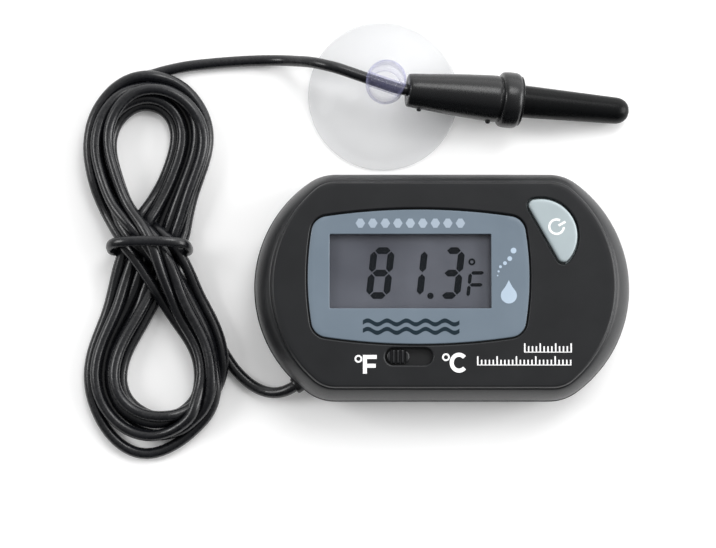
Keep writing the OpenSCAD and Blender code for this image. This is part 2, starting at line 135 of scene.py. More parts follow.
def finish(name, light, dark, rough, grain, bump, depth, cloud=0.15, metallic=0.0, specular=0.5,
           rough_spread=0.06, **constants):
    """A moulded or metal finish: slow colour clouds from dark to light, fine grain in the gloss
    and a relief as deep as depth. Grain and cloud are in features per millimetre."""
    m = bpy.data.materials.new(name)
    m.use_nodes = True
    tree = m.node_tree
    shader = tree.nodes["Principled BSDF"]
    coords = tree.nodes.new("ShaderNodeTexCoord").outputs["Object"]
    slow = noise(tree, coords, cloud, 3.0)
    fine = noise(tree, coords, grain, 2.0)
    colour = blend(tree, spread(tree, slow, 0, 1), linear(dark), linear(light))
    tree.links.new(colour, shader.inputs["Base Color"])
    gloss = spread(tree, fine, rough - rough_spread, rough + rough_spread)
    tree.links.new(gloss, shader.inputs["Roughness"])
    relief = tree.nodes.new("ShaderNodeBump")
    relief.inputs["Strength"].default_value = bump
    relief.inputs["Distance"].default_value = depth * MM
    tree.links.new(fine, relief.inputs["Height"])
    tree.links.new(relief.outputs["Normal"], shader.inputs["Normal"])
    shader.inputs["Metallic"].default_value = metallic
    shader.inputs["Specular IOR Level"].default_value = specular
    for socket, value in constants.items():
        shader.inputs[socket.replace("_", " ")].default_value = value
    return m


MATERIALS = {
    "head_plastic": finish("satin_head_plastic", "#1d1e20", "#17181a", 0.38, 7, 0.35, 0.008,
                           specular=0.33),
    "fascia_plastic": finish("painted_fascia", "#6b7884", "#66737f", 0.34, 9, 0.2, 0.004),
    "clear_lens": finish("clear_lens", "#26282b", "#222427", 0.06, 1, 0.02, 0.002, Alpha=0.04),
    "white_plastic": finish("white_moulding", "#dcdcd4", "#d0d0c8", 0.45, 5, 0.2, 0.005),
    "lcd_glass": finish("display_glass", "#a9b0b0", "#a2a9aa", 0.08, 2, 0.02, 0.002, Alpha=0.35),
    "polariser": finish("polariser_film", "#63666f", "#494b54", 0.36, 10, 0.15, 0.003, cloud=0.08),
    "reflector": finish("silvered_film", "#a8aca6", "#9a9e98", 0.35, 8, 0.2, 0.004, metallic=0.6),
    "zebra_rubber": finish("striped_elastomer", "#d8a0a8", "#2a2022", 0.6, 3, 0.2, 0.01, cloud=2.5),
    "board_laminate": finish("green_laminate", "#2f6b45", "#285c3b", 0.35, 3, 0.25, 0.008),
    "epoxy": finish("cured_epoxy", "#1a1a1c", "#121214", 0.22, 2, 0.15, 0.01),
    "ceramic_tan": finish("fired_ceramic", "#b08f5e", "#a08256", 0.5, 8, 0.2, 0.005),
    "ceramic_black": finish("glazed_ceramic", "#26272b", "#1c1d20", 0.25, 8, 0.2, 0.004),
    "plated_steel": finish("nickel_plate", "#b9bcc0", "#a3a6aa", 0.28, 10, 0.2, 0.003, metallic=1.0),
    "contact_brass": finish("plated_brass", "#c9b37a", "#b79f68", 0.3, 8, 0.2, 0.003, metallic=1.0),
    "switch_plastic": finish("switch_plastic", "#191a1c", "#131416", 0.36, 6, 0.3, 0.006),
    "button_plastic": finish("button_plastic", "#a8b4b7", "#9faaae", 0.42, 8, 0.2, 0.005),
    "silicone": finish("translucent_silicone", "#d9dadb", "#cfd0d1", 0.5, 4, 0.2, 0.006,
                       Subsurface_Weight=0.3),
    "carbon": finish("carbon_rubber", "#1c1c1e", "#141415", 0.7, 10, 0.3, 0.006),
    "lead_pvc": finish("lead_pvc", "#121317", "#0d0e11", 0.28, 1.6, 0.25, 0.02, cloud=0.3,
                       rough_spread=0.08),
    "core_wire": finish("core_insulation", "#b33a2e", "#9c3026", 0.35, 5, 0.2, 0.006),
    "clamp_plastic": finish("clamp_plastic", "#3a3b3d", "#323335", 0.5, 5, 0.25, 0.008),
    "probe_plastic": finish("probe_plastic", "#111214", "#0c0d0e", 0.27, 6, 0.45, 0.012,
                            specular=0.42),
    "cup_pvc": finish("cup_pvc", "#c6c8ca", "#b6b8bc", 0.08, 0.3, 0.1, 0.02, cloud=0.12,
                      rough_spread=0.02),
}


def make_clear(material):
    """Clear soft plastic: nearly invisible face on and denser where it is seen along its surface.
    Over the heights of neck_z it turns a little clearer and lavender, as it is in the knob."""
    neck_z = (3.5 * MM, 7 * MM)
    tree = material.node_tree
    shader = tree.nodes["Principled BSDF"]
    edge_on = tree.nodes.new("ShaderNodeLayerWeight")
    edge_on.inputs["Blend"].default_value = 0.5
    split = tree.nodes.new("ShaderNodeSeparateXYZ")
    coords = tree.nodes.new("ShaderNodeTexCoord").outputs["Object"]
    tree.links.new(coords, split.inputs["Vector"])
    in_knob = spread(tree, split.outputs["Z"], 0, 1, *neck_z)
    by_angle = spread(tree, edge_on.outputs["Facing"], 0.13, 0.7, 0.25, 1.0)
    clearer = spread(tree, in_knob, 0, -0.05, 0, 1)
    tree.links.new(calculate(tree, "ADD", by_angle, clearer), shader.inputs["Alpha"])
    plain = shader.inputs["Base Color"].links[0].from_socket
    tree.links.new(blend(tree, in_knob, plain, linear("#a6a6d2")), shader.inputs["Base Color"])


make_clear(MATERIALS["cup_pvc"])

# Looks that only some pieces of a slot have: the sensor tube, the prints and the digits. The tube's
# look is a darker copy of the probe's plastic with a weaker gloss: painted shade on what is the same
# plastic as the sleeve.
TUBE_SHADED_PLASTIC = finish("tube_shaded_plastic", "#0a0b0c", "#070809", 0.3, 6, 0.3, 0.01, specular=0.12)
MARK_WHITE = finish("white_print", "#fbfbfb", "#f4f4f4", 0.5, 12, 0.1, 0.002)
MARK_PALE = finish("pale_print", "#b3c4d4", "#a9bacb", 0.5, 12, 0.1, 0.002)
MARK_ROW = finish("greyed_print", "#a1aebb", "#99a6b4", 0.5, 12, 0.1, 0.002)
MARK_DARK = finish("dark_print", "#142630", "#10202a", 0.5, 12, 0.1, 0.002, specular=0.2)
SEGMENT = finish("display_segment", "#0c1218", "#0a0e13", 0.5, 8, 0.1, 0.002, specular=0.15)
FLOOR = finish("table", "#ffffff", "#fcfcfc", 0.6, 0.4, 0.05, 0.02, cloud=0.01,
               Emission_Color=(1, 1, 1, 1), Emission_Strength=0.05)


# -------------------------------- mesh tools

def mesh_object(name, verts, faces, material):
    """Object from points in millimetres."""
    mesh = bpy.data.meshes.new(name)
    mesh.from_pydata([[c * MM for c in v] for v in verts], [], faces)
    mesh.materials.append(material)
    mesh.validate()
    o = bpy.data.objects.new(name, mesh)
    scene.collection.objects.link(o)
    return o


def face_outwards(o):
    bm = bmesh.new()
    bm.from_mesh(o.data)
    bmesh.ops.remove_doubles(bm, verts=bm.verts, dist=1e-7)
    bmesh.ops.recalc_face_normals(bm, faces=bm.faces)
    bm.to_mesh(o.data)
    bm.free()


def stack(name, loops, material, closed=False):
    """Skin over loops of points that all have the same count: capped at both ends, or closed into
    a ring."""
    n = len(loops[0])
    verts = [tuple(p) for loop in loops for p in loop]
    faces = []
    for j in range(len(loops) if closed else len(loops) - 1):
        k = (j + 1) % len(loops)
        for i in range(n):
            after = (i + 1) % n
            faces.append((j * n + i, j * n + after, k * n + after, k * n + i))
    if not closed:
        faces.append(tuple(reversed(range(n))))
        faces.append(tuple(range((len(loops) - 1) * n, len(loops) * n)))
    o = mesh_object(name, verts, faces, material)
    face_outwards(o)
    return o


def circle(x, y, r, z, sides):
    turns = (2 * math.pi * i / sides for i in range(sides))
    return [(x + r * math.cos(a), y + r * math.sin(a), z) for a in turns]


def turned_loops(profile, place, sides):
    """Loops of a turned shape: profile is [radius, height] in the frame of place."""
    return [[place @ Vector(p) for p in circle(0, 0, r, z, sides)] for r, z in profile]


def lathe(name, profile, material, place, sides):
    """Turned solid, its profile running from axis to axis."""
    on_axis = 1e-4
    profile = [(max(r, on_axis), z) for r, z in profile]
    return stack(name, turned_loops(profile, place, sides), material)


def apply_modifiers(o):
    graph = bpy.context.evaluated_depsgraph_get()
    mesh = bpy.data.meshes.new_from_object(o.evaluated_get(graph))
    o.modifiers.clear()
    old, o.data = o.data, mesh
    bpy.data.meshes.remove(old)


def combine(o, other, operation="DIFFERENCE"):
    """Boolean of o with another object, which it uses up."""
    mod = o.modifiers.new("cut", "BOOLEAN")
    mod.operation = operation
    mod.solver = "EXACT"
    mod.object = other
    apply_modifiers(o)
    bpy.data.objects.remove(other)


def melt_slivers(o):
    """Clears what a boolean leaves: doubled points, faces without area and loose edges."""
    sliver = 0.003 * MM
    bm = bmesh.new()
    bm.from_mesh(o.data)
    bmesh.ops.remove_doubles(bm, verts=bm.verts, dist=sliver)
    bmesh.ops.dissolve_degenerate(bm, edges=bm.edges, dist=sliver)
    bmesh.ops.delete(bm, geom=[e for e in bm.edges if not e.link_faces], context="EDGES")
    bm.to_mesh(o.data)
    bm.free()


def shade(o, angle=32, weighted=True):
    """Smooth shading with creases over the angle; weighted keeps flat faces flat."""
    o.data.shade_smooth()
    o.data.set_sharp_from_angle(angle=math.radians(angle))
    if weighted:
        mod = o.modifiers.new("weighted", "WEIGHTED_NORMAL")
        mod.keep_sharp = True
        mod.weight = 90
        apply_modifiers(o)


def add(o, body, nodes=()):
    """Puts a piece on its body, in the place of CAD nodes."""
    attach(o, body)
    if nodes:
        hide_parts(*nodes)


def arc(c, r, a0, a1, n):
    """Points of an arc from angle a0 to a1 in degrees, both ends included."""
    return [(c[0] + r * math.cos(math.radians(a0 + (a1 - a0) * i / n)),
             c[1] + r * math.sin(math.radians(a0 + (a1 - a0) * i / n))) for i in range(n + 1)]


def straight(p, q, n):
    """Points between p and q, without the ends."""
    return [(p[0] + (q[0] - p[0]) * i / n, p[1] + (q[1] - p[1]) * i / n) for i in range(1, n)]


def mirrored(q):
    """Whole closed outline from its first quarter, which runs from the +X axis to the +Y axis."""
    half = q + [(-x, y) for x, y in reversed(q[:-1])]
    return half + [(x, -y) for x, y in reversed(half[1:-1])]


def turned(points, at, angle):
    """Outline turned about the origin, then moved to at."""
    cos, sin = math.cos(angle), math.sin(angle)
    return [(at[0] + x * cos - y * sin, at[1] + x * sin + y * cos) for x, y in points]


def layers(outline, rings):
    """Loops for stack: each ring is a height and how far the outline is grown there."""
    return [[(x, y, z) for x, y in outline(grow)] for z, grow in rings]


def cutter(loops):
    """Solid that only takes part in a boolean."""
    return stack("cutter", loops, MATERIALS["head_plastic"])


def box_object(x0, x1, y0, y1, z0, z1):
    return cutter([[(x0, y0, z), (x1, y0, z), (x1, y1, z), (x0, y1, z)] for z in (z0, z1)])


def post(x, y, r, z0, z1, sides=40):
    return cutter([circle(x, y, r, z, sides) for z in (z0, z1)])


def flared(outline, lip, z0, z_top, radius, z1, count=5):
    """Cutter for an opening lip wider than its outline. Its walls turn outwards in a small radius
    where they meet the surface at z_top."""
    rings = [(z0, lip)]
    for i in range(count + 1):
        a = math.radians(90 * i / count)
        rings.append((z_top - radius + radius * math.sin(a), lip + radius * (1 - math.cos(a))))
    rings.append((z1, lip + radius + (z1 - z_top) * 2))
    return cutter(layers(outline, rings))


def spline(points, per):
    """Catmull-Rom line through the points."""
    p = np.asarray(points, float)
    n = len(p) - 1
    t = np.linspace(0, 1, per, endpoint=False)[:, None]
    parts = []
    for i in range(n):
        a, b, c, d = p[max(i - 1, 0)], p[i], p[i + 1], p[min(i + 2, n)]
        parts.append(0.5 * (2 * b + (c - a) * t + (2 * a - 5 * b + 4 * c - d) * t ** 2
                            + (3 * b - a - 3 * c + d) * t ** 3))
    return np.vstack(parts + [p[-1:]])


def resample(line, step):
    """Points at an even spacing along a line."""
    run = np.r_[0, np.cumsum(np.linalg.norm(np.diff(line, axis=0), axis=1))]
    at = np.linspace(0, run[-1], int(round(run[-1] / step)) + 1)
    return np.column_stack([np.interp(at, run, line[:, j]) for j in range(3)])


# -------------------------------- lead

# Where the lead leaves the head and which way it heads, then its way from there to the hank and
# from the hank through the cup's knob to the probe
LEAD_D = 1.8
EXIT = (-22.98, -15.31, 3.1)
EXIT_DIR = np.array([math.cos(math.radians(213)), math.sin(math.radians(213)), 0])
HEAD_ROUTE = [np.array(EXIT) - 7.5 * EXIT_DIR, np.array(EXIT) - 4 * EXIT_DIR, EXIT,
              (-24.4, -16.15, 2.9), (-26, -16.65, 2.3), (-27.8, -16.6, 1.6), (-29.6, -15.95, 1.15),
              (-31.3, -14.8, 0.95), (-33, -13.1, 0.95), (-34.5, -11, 0.95), (-35.9, -8.6, 0.95),
              (-37.2, -6, 0.95), (-39.2, -2.2, 0.95), (-42.4, 2.6, 1.3)]
PROBE_ROUTE = [(-49.6, 34, 0.95), (-46.5, 35.2, 0.95), (-44, 35.9, 0.95), (-41, 36.5, 0.95),
               (-37.5, 36.9, 0.95), (-34, 37.2, 0.95), (-30.5, 37.4, 0.95), (-27.5, 37.4, 1.3),
               (-25.2, 37.2, 2.2), (-23.2, 36.8, 3.8), (-21.5, 36.4, 5.4), (-19.8, 35.9, 6.7),
               (-18.2, 35.4, 7.4), (-16.6, 34.95, 7.6), (-13, 33.71, 7.6), (-9.2, 32.4, 7.6),
               (-7.2, 31.74, 7.6), (-5.5, 31.45, 7.4), (-3.9, 31.33, 7.18), (-1.5, 31.16, 6.84)]

# The hank's ring of stations: outer edge and inner edge of the bundle, up one side of the figure
# of eight, over the top lobe and back to the waist, then round the lower lobe
TOP_LOBE = [((-55.2, 12.0), (-48.8, 11.6)), ((-57.7, 17.4), (-51.3, 17.8)),
            ((-58.8, 22.7), (-53.0, 23.6)), ((-56.9, 29.0), (-52.0, 27.4)),
            ((-52.6, 33.5), (-50.5, 29.3)), ((-47.2, 35.5), (-48.3, 29.7)),
            ((-41.0, 33.5), (-45.1, 28.9)), ((-37.7, 29.4), (-43.6, 26.3)),
            ((-36.5, 25.0), (-43.6, 24.1)), ((-37.7, 19.6), (-44.9, 20.0)),
            ((-39.6, 14.7), (-46.6, 16.0))]
LOW_LOBE = [((-54.7, -3.9), (-47.1, -5.0)), ((-56.7, -8.4), (-49.7, -8.8)),
            ((-57.8, -14.5), (-51.2, -14.1)), ((-55.9, -21.1), (-50.1, -17.6)),
            ((-52.1, -26.0), (-47.2, -19.3)), ((-47.1, -27.7), (-43.5, -20.0)),
            ((-40.6, -24.7), (-40.8, -19.1)), ((-35.8, -19.4), (-39.5, -16.7)),
            ((-34.1, -13.2), (-39.5, -13.2)), ((-35.1, -7.0), (-40.7, -9.2)),
            ((-38.1, -1.3), (-43.6, -5.7))]
WAIST_Y = 6.75
WAIST_X = (-51.0, -42.4)
LOBE_KEYS = (2, 5, 8)  # stations of a lobe where a turn's lane and height are given
# One row per turn: lane from outer (0) to inner (1) at the left, top and right of the top lobe and
# the left, bottom and right of the lower one; heights there; heights at the waist going up and down
TURNS = [
    ((0.5, 0.5, 0.5, 0.5, 0.5, 0.45), (0.9, 0.9, 0.9, 0.9, 0.9, 4.9), (4.0, 2.2)),
    ((0.77, 0.75, 0.75, 0.25, 0.5, 0.8), (2.45, 2.45, 2.45, 2.45, 2.45, 3.6), (4.0, 2.2)),
    ((1.0, 0.5, 0.1, 0.85, 0.97, 0.55), (4.0, 4.0, 3.9, 3.95, 3.95, 2.3), (6.0, 2.2)),
    ((0.5, 0.27, 0.36, 0.72, 0.82, 1.0), (3.95, 2.6, 2.45, 2.45, 2.45, 2.2), (4.0, 2.2)),
    ((0.2, 0.0, 0.0, 1.0, 0.95, 0.0), (2.45, 2.75, 0.9, 0.9, 0.9, 2.5), (4.0, 2.2)),
    ((1.0, 1.0, 1.0, 0.0, 0.0, 0.25), (0.9, 0.9, 0.9, 0.9, 0.9, 3.6), (4.0, 2.2)),
]
# The last way up, to where the lead leaves for the probe: lanes, height, height at the waist and
# the lane aimed at there
LAST_UP = ((0.5, 0.4, 0.3, 0.15), 0.9, 4.0, 0.3)


def lane_point(edges, share, z):
    """Middle of a strand in its lane between the edges of the bundle at one station."""
    outer, inner = np.array(edges[0]), np.array(edges[1])
    width = np.linalg.norm(inner - outer)
    along = (inner - outer) / width
    r = LEAD_D / 2
    return np.append(outer + along * (r + share * (width - LEAD_D)), z)


def crossing(from_lane, to_lane, z):
    """Point on the waist, where a strand changes sides between the lobes."""
    middle = ((1 - from_lane) + to_lane) / 2
    return np.array([np.interp(middle, (0, 1), WAIST_X), WAIST_Y, z])


def round_lobe(lobe, lanes, heights):
    stations = range(len(lobe))
    shares = np.interp(stations, LOBE_KEYS, lanes)
    levels = np.interp(stations, LOBE_KEYS, heights)
    return [lane_point(e, share, z) for e, share, z in zip(lobe, shares, levels)]


def hank_line():
    """The lead's whole way, through the lanes of each turn."""
    line = [np.array(p, float) for p in HEAD_ROUTE]
    from_lane = 0.5
    for lanes, heights, (up_z, down_z) in TURNS:
        line.append(crossing(from_lane, lanes[0], up_z))
        line += round_lobe(TOP_LOBE, lanes[:3], heights[:3])
        line.append(crossing(lanes[2], lanes[3], down_z))
        line += round_lobe(LOW_LOBE, lanes[3:], heights[3:])
        from_lane = lanes[5]
    shares, height, up_z, aim = LAST_UP
    line.append(crossing(from_lane, aim, up_z))
    line += [lane_point(e, share, height) for e, share in zip(TOP_LOBE, shares)]
    line += [np.array(p, float) for p in PROBE_ROUTE]
    return np.array(line)


def freedom(count, first, last, ramp):
    """How free each point of a line is: not at all up to first and from last on, and wholly once
    it is ramp points further in."""
    index = np.arange(count)
    return np.clip(np.minimum((index - first) / ramp, (last - index) / ramp), 0, 1)


APART = LEAD_D + 0.04  # distance that strands are pushed to
WATCHED = LEAD_D + 0.8  # pairs nearer than this are followed until the next look
LOOK_EVERY = 6
SINK = 0.012  # drop of each round
CLOSING_ROUNDS = 30  # last rounds, which only part the strands
TIED_HALF_W = 1.6
TIED_X = (-51.6, -41.8)
TIED_LOW_Z = 2.15


def settle(rest, free, rounds):
    """Strands that touch push each other apart and drop onto what is below. Only the way each
    point has moved is smoothed, so the turns keep their curves."""
    index = np.arange(len(rest))
    x = rest.copy()
    for step in range(rounds):
        closing = step > rounds - CLOSING_ROUNDS
        if not closing:
            x[:, 2:] -= SINK * free
        if step % LOOK_EVERY == 0:
            gap = ((x[:, None] - x[None]) ** 2).sum(2)
            i, j = np.where((gap < WATCHED ** 2) & (index[None] - index[:, None] > 3))
        for _ in range(2):
            apart = x[j] - x[i]
            length = np.maximum(np.linalg.norm(apart, axis=1), 1e-6)
            close = length < APART
            a, b = i[close], j[close]
            share = np.maximum(free[a] + free[b], 1e-9)
            push = (0.5 * (APART - length[close]) / length[close])[:, None] * apart[close] / share
            moved = np.zeros_like(x)
            np.add.at(moved, a, -push * free[a])
            np.add.at(moved, b, push * free[b])
            x += moved
        shift = x - rest
        passes, smoothing = (1, 0.2) if closing else (2, 0.5)
        for _ in range(passes):
            mean = shift.copy()
            mean[1:-1] = (shift[:-2] + shift[2:]) / 2
            shift += smoothing * (mean - shift) * free
        pull_back = 0.12 * (1 - 0.8 * step / rounds)
        shift[:, :2] *= 1 - pull_back
        x = rest + shift
        x[:, 2] = np.maximum(x[:, 2], LEAD_D / 2)
        tied = (np.abs(x[:, 1] - WAIST_Y) < TIED_HALF_W) & (free[:, 0] > 0)
        x[tied, 0] = np.clip(x[tied, 0], *TIED_X)
        x[tied, 2] = np.maximum(x[tied, 2], TIED_LOW_Z)
    return x


def soften(line, reach, share):
    """Gaussian average along a line, by each point's own share."""
    k = int(3 * reach)
    weights = np.exp(-0.5 * (np.arange(-k, k + 1) / reach) ** 2)
    padded = np.vstack([np.repeat(line[:1], k, 0), line, np.repeat(line[-1:], k, 0)])
    mean = np.column_stack([np.convolve(padded[:, j], weights / weights.sum(), "valid")
                            for j in range(3)])
    return line + share[:, None] * (mean - line)


# Both ends of the lead keep their place, so that they follow the CAD's. Their lengths are 30 and
# 55 points for soften, and 30 and 50 mm for settle, whose points are one step apart.
STEP = 1.15
route = resample(spline(hank_line(), 24), STEP)
count = len(route)
route = soften(route, 2.2, freedom(count, 30, count - 55, 8))
route = settle(route, freedom(count, 30 / STEP, count - 50 / STEP, 6)[:, None], 300)
path = spline(route, 2)
path[:, 2] = np.maximum(path[:, 2], LEAD_D / 2 + 0.03)

curve = bpy.data.curves.new("lead", "CURVE")
curve.dimensions = "3D"
curve.bevel_depth = LEAD_D / 2 * MM
curve.bevel_resolution = 4
curve.use_fill_caps = True
line = curve.splines.new("POLY")
line.points.add(len(path) - 1)
line.points.foreach_set("co", np.column_stack([path * MM, np.ones(len(path))]).ravel())
line.use_smooth = True
lead = bpy.data.objects.new("lead", curve)
scene.collection.objects.link(lead)
curve.materials.append(MATERIALS["lead_pvc"])
add(lead, "root", ("lead_from_head", "lead_hank", "lead_to_probe"))

# The tie: a soft squarish ring round the waist, its top bar slightly bowed and its two sides
# pulled back
TIE_SIDES, TIE_RINGS = 20, 120
TIE_HALF_T, TIE_HALF_W = 0.55, 0.82
TIE_SQUARENESS = 0.62
TIE_LOW_Z = 0.62
tied = route[np.abs(route[:, 1] - WAIST_Y) < 1.8]
half_x = (tied[:, 0].max() - tied[:, 0].min()) / 2 + LEAD_D / 2 + TIE_HALF_T
mid_x = (tied[:, 0].max() + tied[:, 0].min()) / 2
top_z = tied[:, 2].max() + LEAD_D / 2 + 0.5
half_z = (top_z - TIE_LOW_Z) / 2


def tie_loop(a):
    """Section of the tie at angle a round the waist."""
    c, s = math.cos(a), math.sin(a)
    ux = math.copysign(abs(c) ** TIE_SQUARENESS, c)
    uz = math.copysign(abs(s) ** TIE_SQUARENESS, s)
    above = max(uz, 0)
    y = WAIST_Y + 0.55 * above * (1 - 0.9 * ux * ux) - 0.5 * (1 - above) * abs(ux)
    centre = Vector((mid_x + half_x * ux, y + 0.12 * math.sin(3 * a), TIE_LOW_Z + half_z * (1 + uz)))
    out = Vector((c, 0, s)).normalized()
    turns = (2 * math.pi * k / TIE_SIDES for k in range(TIE_SIDES))
    return [centre + out * (TIE_HALF_T * math.cos(b)) + Vector((0, TIE_HALF_W * math.sin(b), 0))
            for b in turns]


tie = stack("hank_band", [tie_loop(2 * math.pi * i / TIE_RINGS) for i in range(TIE_RINGS)],
            MATERIALS["lead_pvc"], closed=True)
shade(tie, 60, False)
add(tie, "root", ("hank_tie",))


# -------------------------------- head outlines

# A head outline is the centre of its end arcs in x, their radius, its half height and the radius
# of its corners: first the widest one, at the parting line, then the plateau's edge
OUTER = (9.35, 20.6, 18.15, 7.5)
PLATEAU = (6.95, 19.45, 15.7, 4.5)


def between(t):
    """Outline a share t of the way from the widest one to the plateau's."""
    return tuple(a + (b - a) * t for a, b in zip(OUTER, PLATEAU))


def inset(d):
    """Widest outline, moved in by d."""
    centre_x, end_r, half_h, corner_r = OUTER
    return centre_x, end_r - d, half_h - d, max(corner_r - d, 1)


def head_loop(outline, z):
    """Points of an outline at height z: end arc, corner arc and straight side, mirrored."""
    centre_x, end_r, half_h, corner_r = outline
    corner_y = half_h - corner_r
    corner_x = centre_x + math.sqrt((end_r - corner_r) ** 2 - corner_y * corner_y)
    a = math.degrees(math.atan2(corner_y, corner_x - centre_x))
    quarter = (arc((centre_x, 0), end_r, 0, a, 30)[:-1]
               + arc((corner_x, corner_y), corner_r, a, 90, 12))
    quarter += straight(quarter[-1], (0, half_h), 12) + [(0, half_h)]
    return [(x, y, z) for x, y in mirrored(quarter)]


def slab(outline, z0, z1):
    return cutter([head_loop(outline, z) for z in (z0, z1)])


# Profiles of the shells: height, and the share of the way from the widest outline to the plateau's
FRONT_RIM = [(PARTING_Z, 0.085), (5.06, 0.06), (5.2, 0.055), (6.0, 0.07), (7.0, 0.1), (7.8, 0.14),
             (8.6, 0.2), (9.3, 0.272), (10.0, 0.36), (10.6, 0.452), (11.1, 0.54), (11.5, 0.622),
             (11.8, 0.695), (11.95, 0.745), (12.02, 0.785), (12.06, 0.81), (12.14, 0.822),
             (12.3, 0.832), (12.5, 0.846), (12.68, 0.865), (12.82, 0.892), (12.92, 0.925),
             (12.98, 0.962), (PLATEAU_Z, 1.0)]
REAR_RIM = [(0.0, 0.7), (0.08, 0.62), (0.25, 0.555), (0.5, 0.48), (0.9, 0.37), (1.4, 0.26),
            (2.0, 0.165), (2.6, 0.095), (3.2, 0.04), (3.8, 0.01), (4.4, -0.002), (4.85, 0.0),
            (4.95, 0.012), (PARTING_Z, 0.035)]
# The screws stand where the CAD's do
HOUSING_SCREWS = [(24.2, 4.2), (24.2, -4.2), (-24.2, 4.2), (-24.2, -4.2)]
BOARD_SCREWS = [(-17.6, 12.2), (8.7, 12.9), (17.2, -9.6)]


def rounded_box(x0, x1, y0, y1, r, n=5):
    """Outline of a box with round corners, to be grown by d."""
    def grown(d):
        rr = max(r + d, 0.02)
        corners = [(x1 + d - rr, y1 + d - rr, 0), (x0 - d + rr, y1 + d - rr, 90),
                   (x0 - d + rr, y0 - d + rr, 180), (x1 + d - rr, y0 - d + rr, 270)]
        return [p for cx, cy, a in corners for p in arc((cx, cy), rr, a, a + 90, n)]
    return grown


def stadium(x0, x1, y, width, n=16):
    """Outline of a slot with round ends, to be grown by d."""
    def grown(d):
        r = width / 2 + d
        return (arc((x1 - width / 2, y), r, -90, 90, n)
                + arc((x0 + width / 2, y), r, 90, 270, n))
    return grown


FASCIA_AT = (-3.93, 1.2)


def barrel(d):
    """Fascia outline grown by d: four shallow arcs joined by round corners."""
    half_w, half_h, corner_r = 17.28 + d, 10.5 + d, 2.6 + d
    top_r, side_r = 99 + d, 45 + d
    top, side = Vector((0, half_h - top_r)), Vector((half_w - side_r, 0))
    # The corner's centre is as far from the centres of both arcs as it takes to touch them inside
    a, b = top_r - corner_r, side_r - corner_r
    between_centres = side - top
    m = between_centres.length
    along = (m * m + a * a - b * b) / (2 * m)
    off = math.sqrt(a * a - along * along)
    e = between_centres / m
    corner = top + along * e + off * Vector((e.y, -e.x))
    side_a = math.degrees(math.atan2(corner.y, corner.x - half_w + side_r))
    top_a = math.degrees(math.atan2(corner.y - half_h + top_r, corner.x))
    quarter = (arc((half_w - side_r, 0), side_r, 0, side_a, 14)[:-1]
               + arc(corner, corner_r, side_a, top_a, 10)[:-1]
               + arc((0, half_h - top_r), top_r, top_a, 90, 18))
    return [(x + FASCIA_AT[0], y + FASCIA_AT[1]) for x, y in mirrored(quarter)]


# Power button: a half moon turned to face the head's upper right corner
BUTTON_AT = (15.63, 7.89)
BUTTON_TURN = math.radians(-60.8)
BUTTON_R, BUTTON_DROP, BUTTON_CORNER = 5.7, 0.6, 0.9
DOME_AT = (17.3, 8.8)  # where the dome under the button stands


def half_moon(d):
    """Button outline grown by d: an arc over a flat side, with round corners."""
    drop = BUTTON_CORNER + BUTTON_DROP
    corner_x = math.sqrt((BUTTON_R - BUTTON_CORNER) ** 2 - drop * drop)
    a = math.degrees(math.atan2(drop, corner_x))
    c = max(BUTTON_CORNER + d, 0.05)
    flat_y = BUTTON_CORNER - c
    points = (arc((corner_x, BUTTON_CORNER), c, -90, a, 8)[:-1]
              + arc((0, -BUTTON_DROP), BUTTON_R + d, a, 180 - a, 40)
              + arc((-corner_x, BUTTON_CORNER), c, 180 - a, 270, 8)[1:]
              + straight((-corner_x, flat_y), (corner_x, flat_y), 12))
    return turned(points, BUTTON_AT, BUTTON_TURN)


# Slot of the unit switch and the knob that slides in it, at its left end
SLOT_Y = -11.24
slot = stadium(-9.17, -1.73, SLOT_Y, 2.64)
KNOB_X, KNOB_L, KNOB_W = -7.12, 3.6, 2.2

WINDOW_X, WINDOW_Y, WINDOW_HALF_W, WINDOW_HALF_H = -5.2, 2.05, 12.6, 5.8
window = rounded_box(WINDOW_X - WINDOW_HALF_W, WINDOW_X + WINDOW_HALF_W,
                     WINDOW_Y - WINDOW_HALF_H, WINDOW_Y + WINDOW_HALF_H, 0.18)

# -------------------------------- front shell

ceiling = 10.5  # the openings' cutters start under the plateau's wall
flat_top = (PLATEAU[0] - 0.2, PLATEAU[1] - 0.5, PLATEAU[2] - 0.6, 4)
front_loops = [head_loop(between(t), z) for z, t in FRONT_RIM] + [head_loop(flat_top, PLATEAU_Z)]
front = stack("front_case", front_loops, MATERIALS["head_plastic"])
cavity = slab(inset(2), 4, 9.2)
combine(cavity, slab(inset(3.7), 9.1, 11.5), "UNION")
for x, y in HOUSING_SCREWS:
    combine(cavity, post(x, y, 2.2, 4.6, 12))
for x, y in BOARD_SCREWS:
    combine(cavity, post(x, y, 1.5, 8.7, 12))
combine(front, cavity)
combine(front, flared(barrel, 0.24, 12.1, PLATEAU_Z, 0.22, 13.4))
combine(front, cutter(layers(window, [(ceiling, 1.1), (PLATEAU_Z, 1.1)])))
combine(front, flared(half_moon, 0.35, ceiling, PLATEAU_Z, 0.2, 13.3))
combine(front, flared(slot, 0, ceiling, PLATEAU_Z, 0.3, 13.4))
for x, y in HOUSING_SCREWS:
    combine(front, post(x, y, 0.75, 4, 10.6, 24))
for x, y in BOARD_SCREWS:
    combine(front, post(x, y, 0.55, 8, 11.4, 24))
shade(front)
add(front, "root", ("front_shell",))

# -------------------------------- rear shell

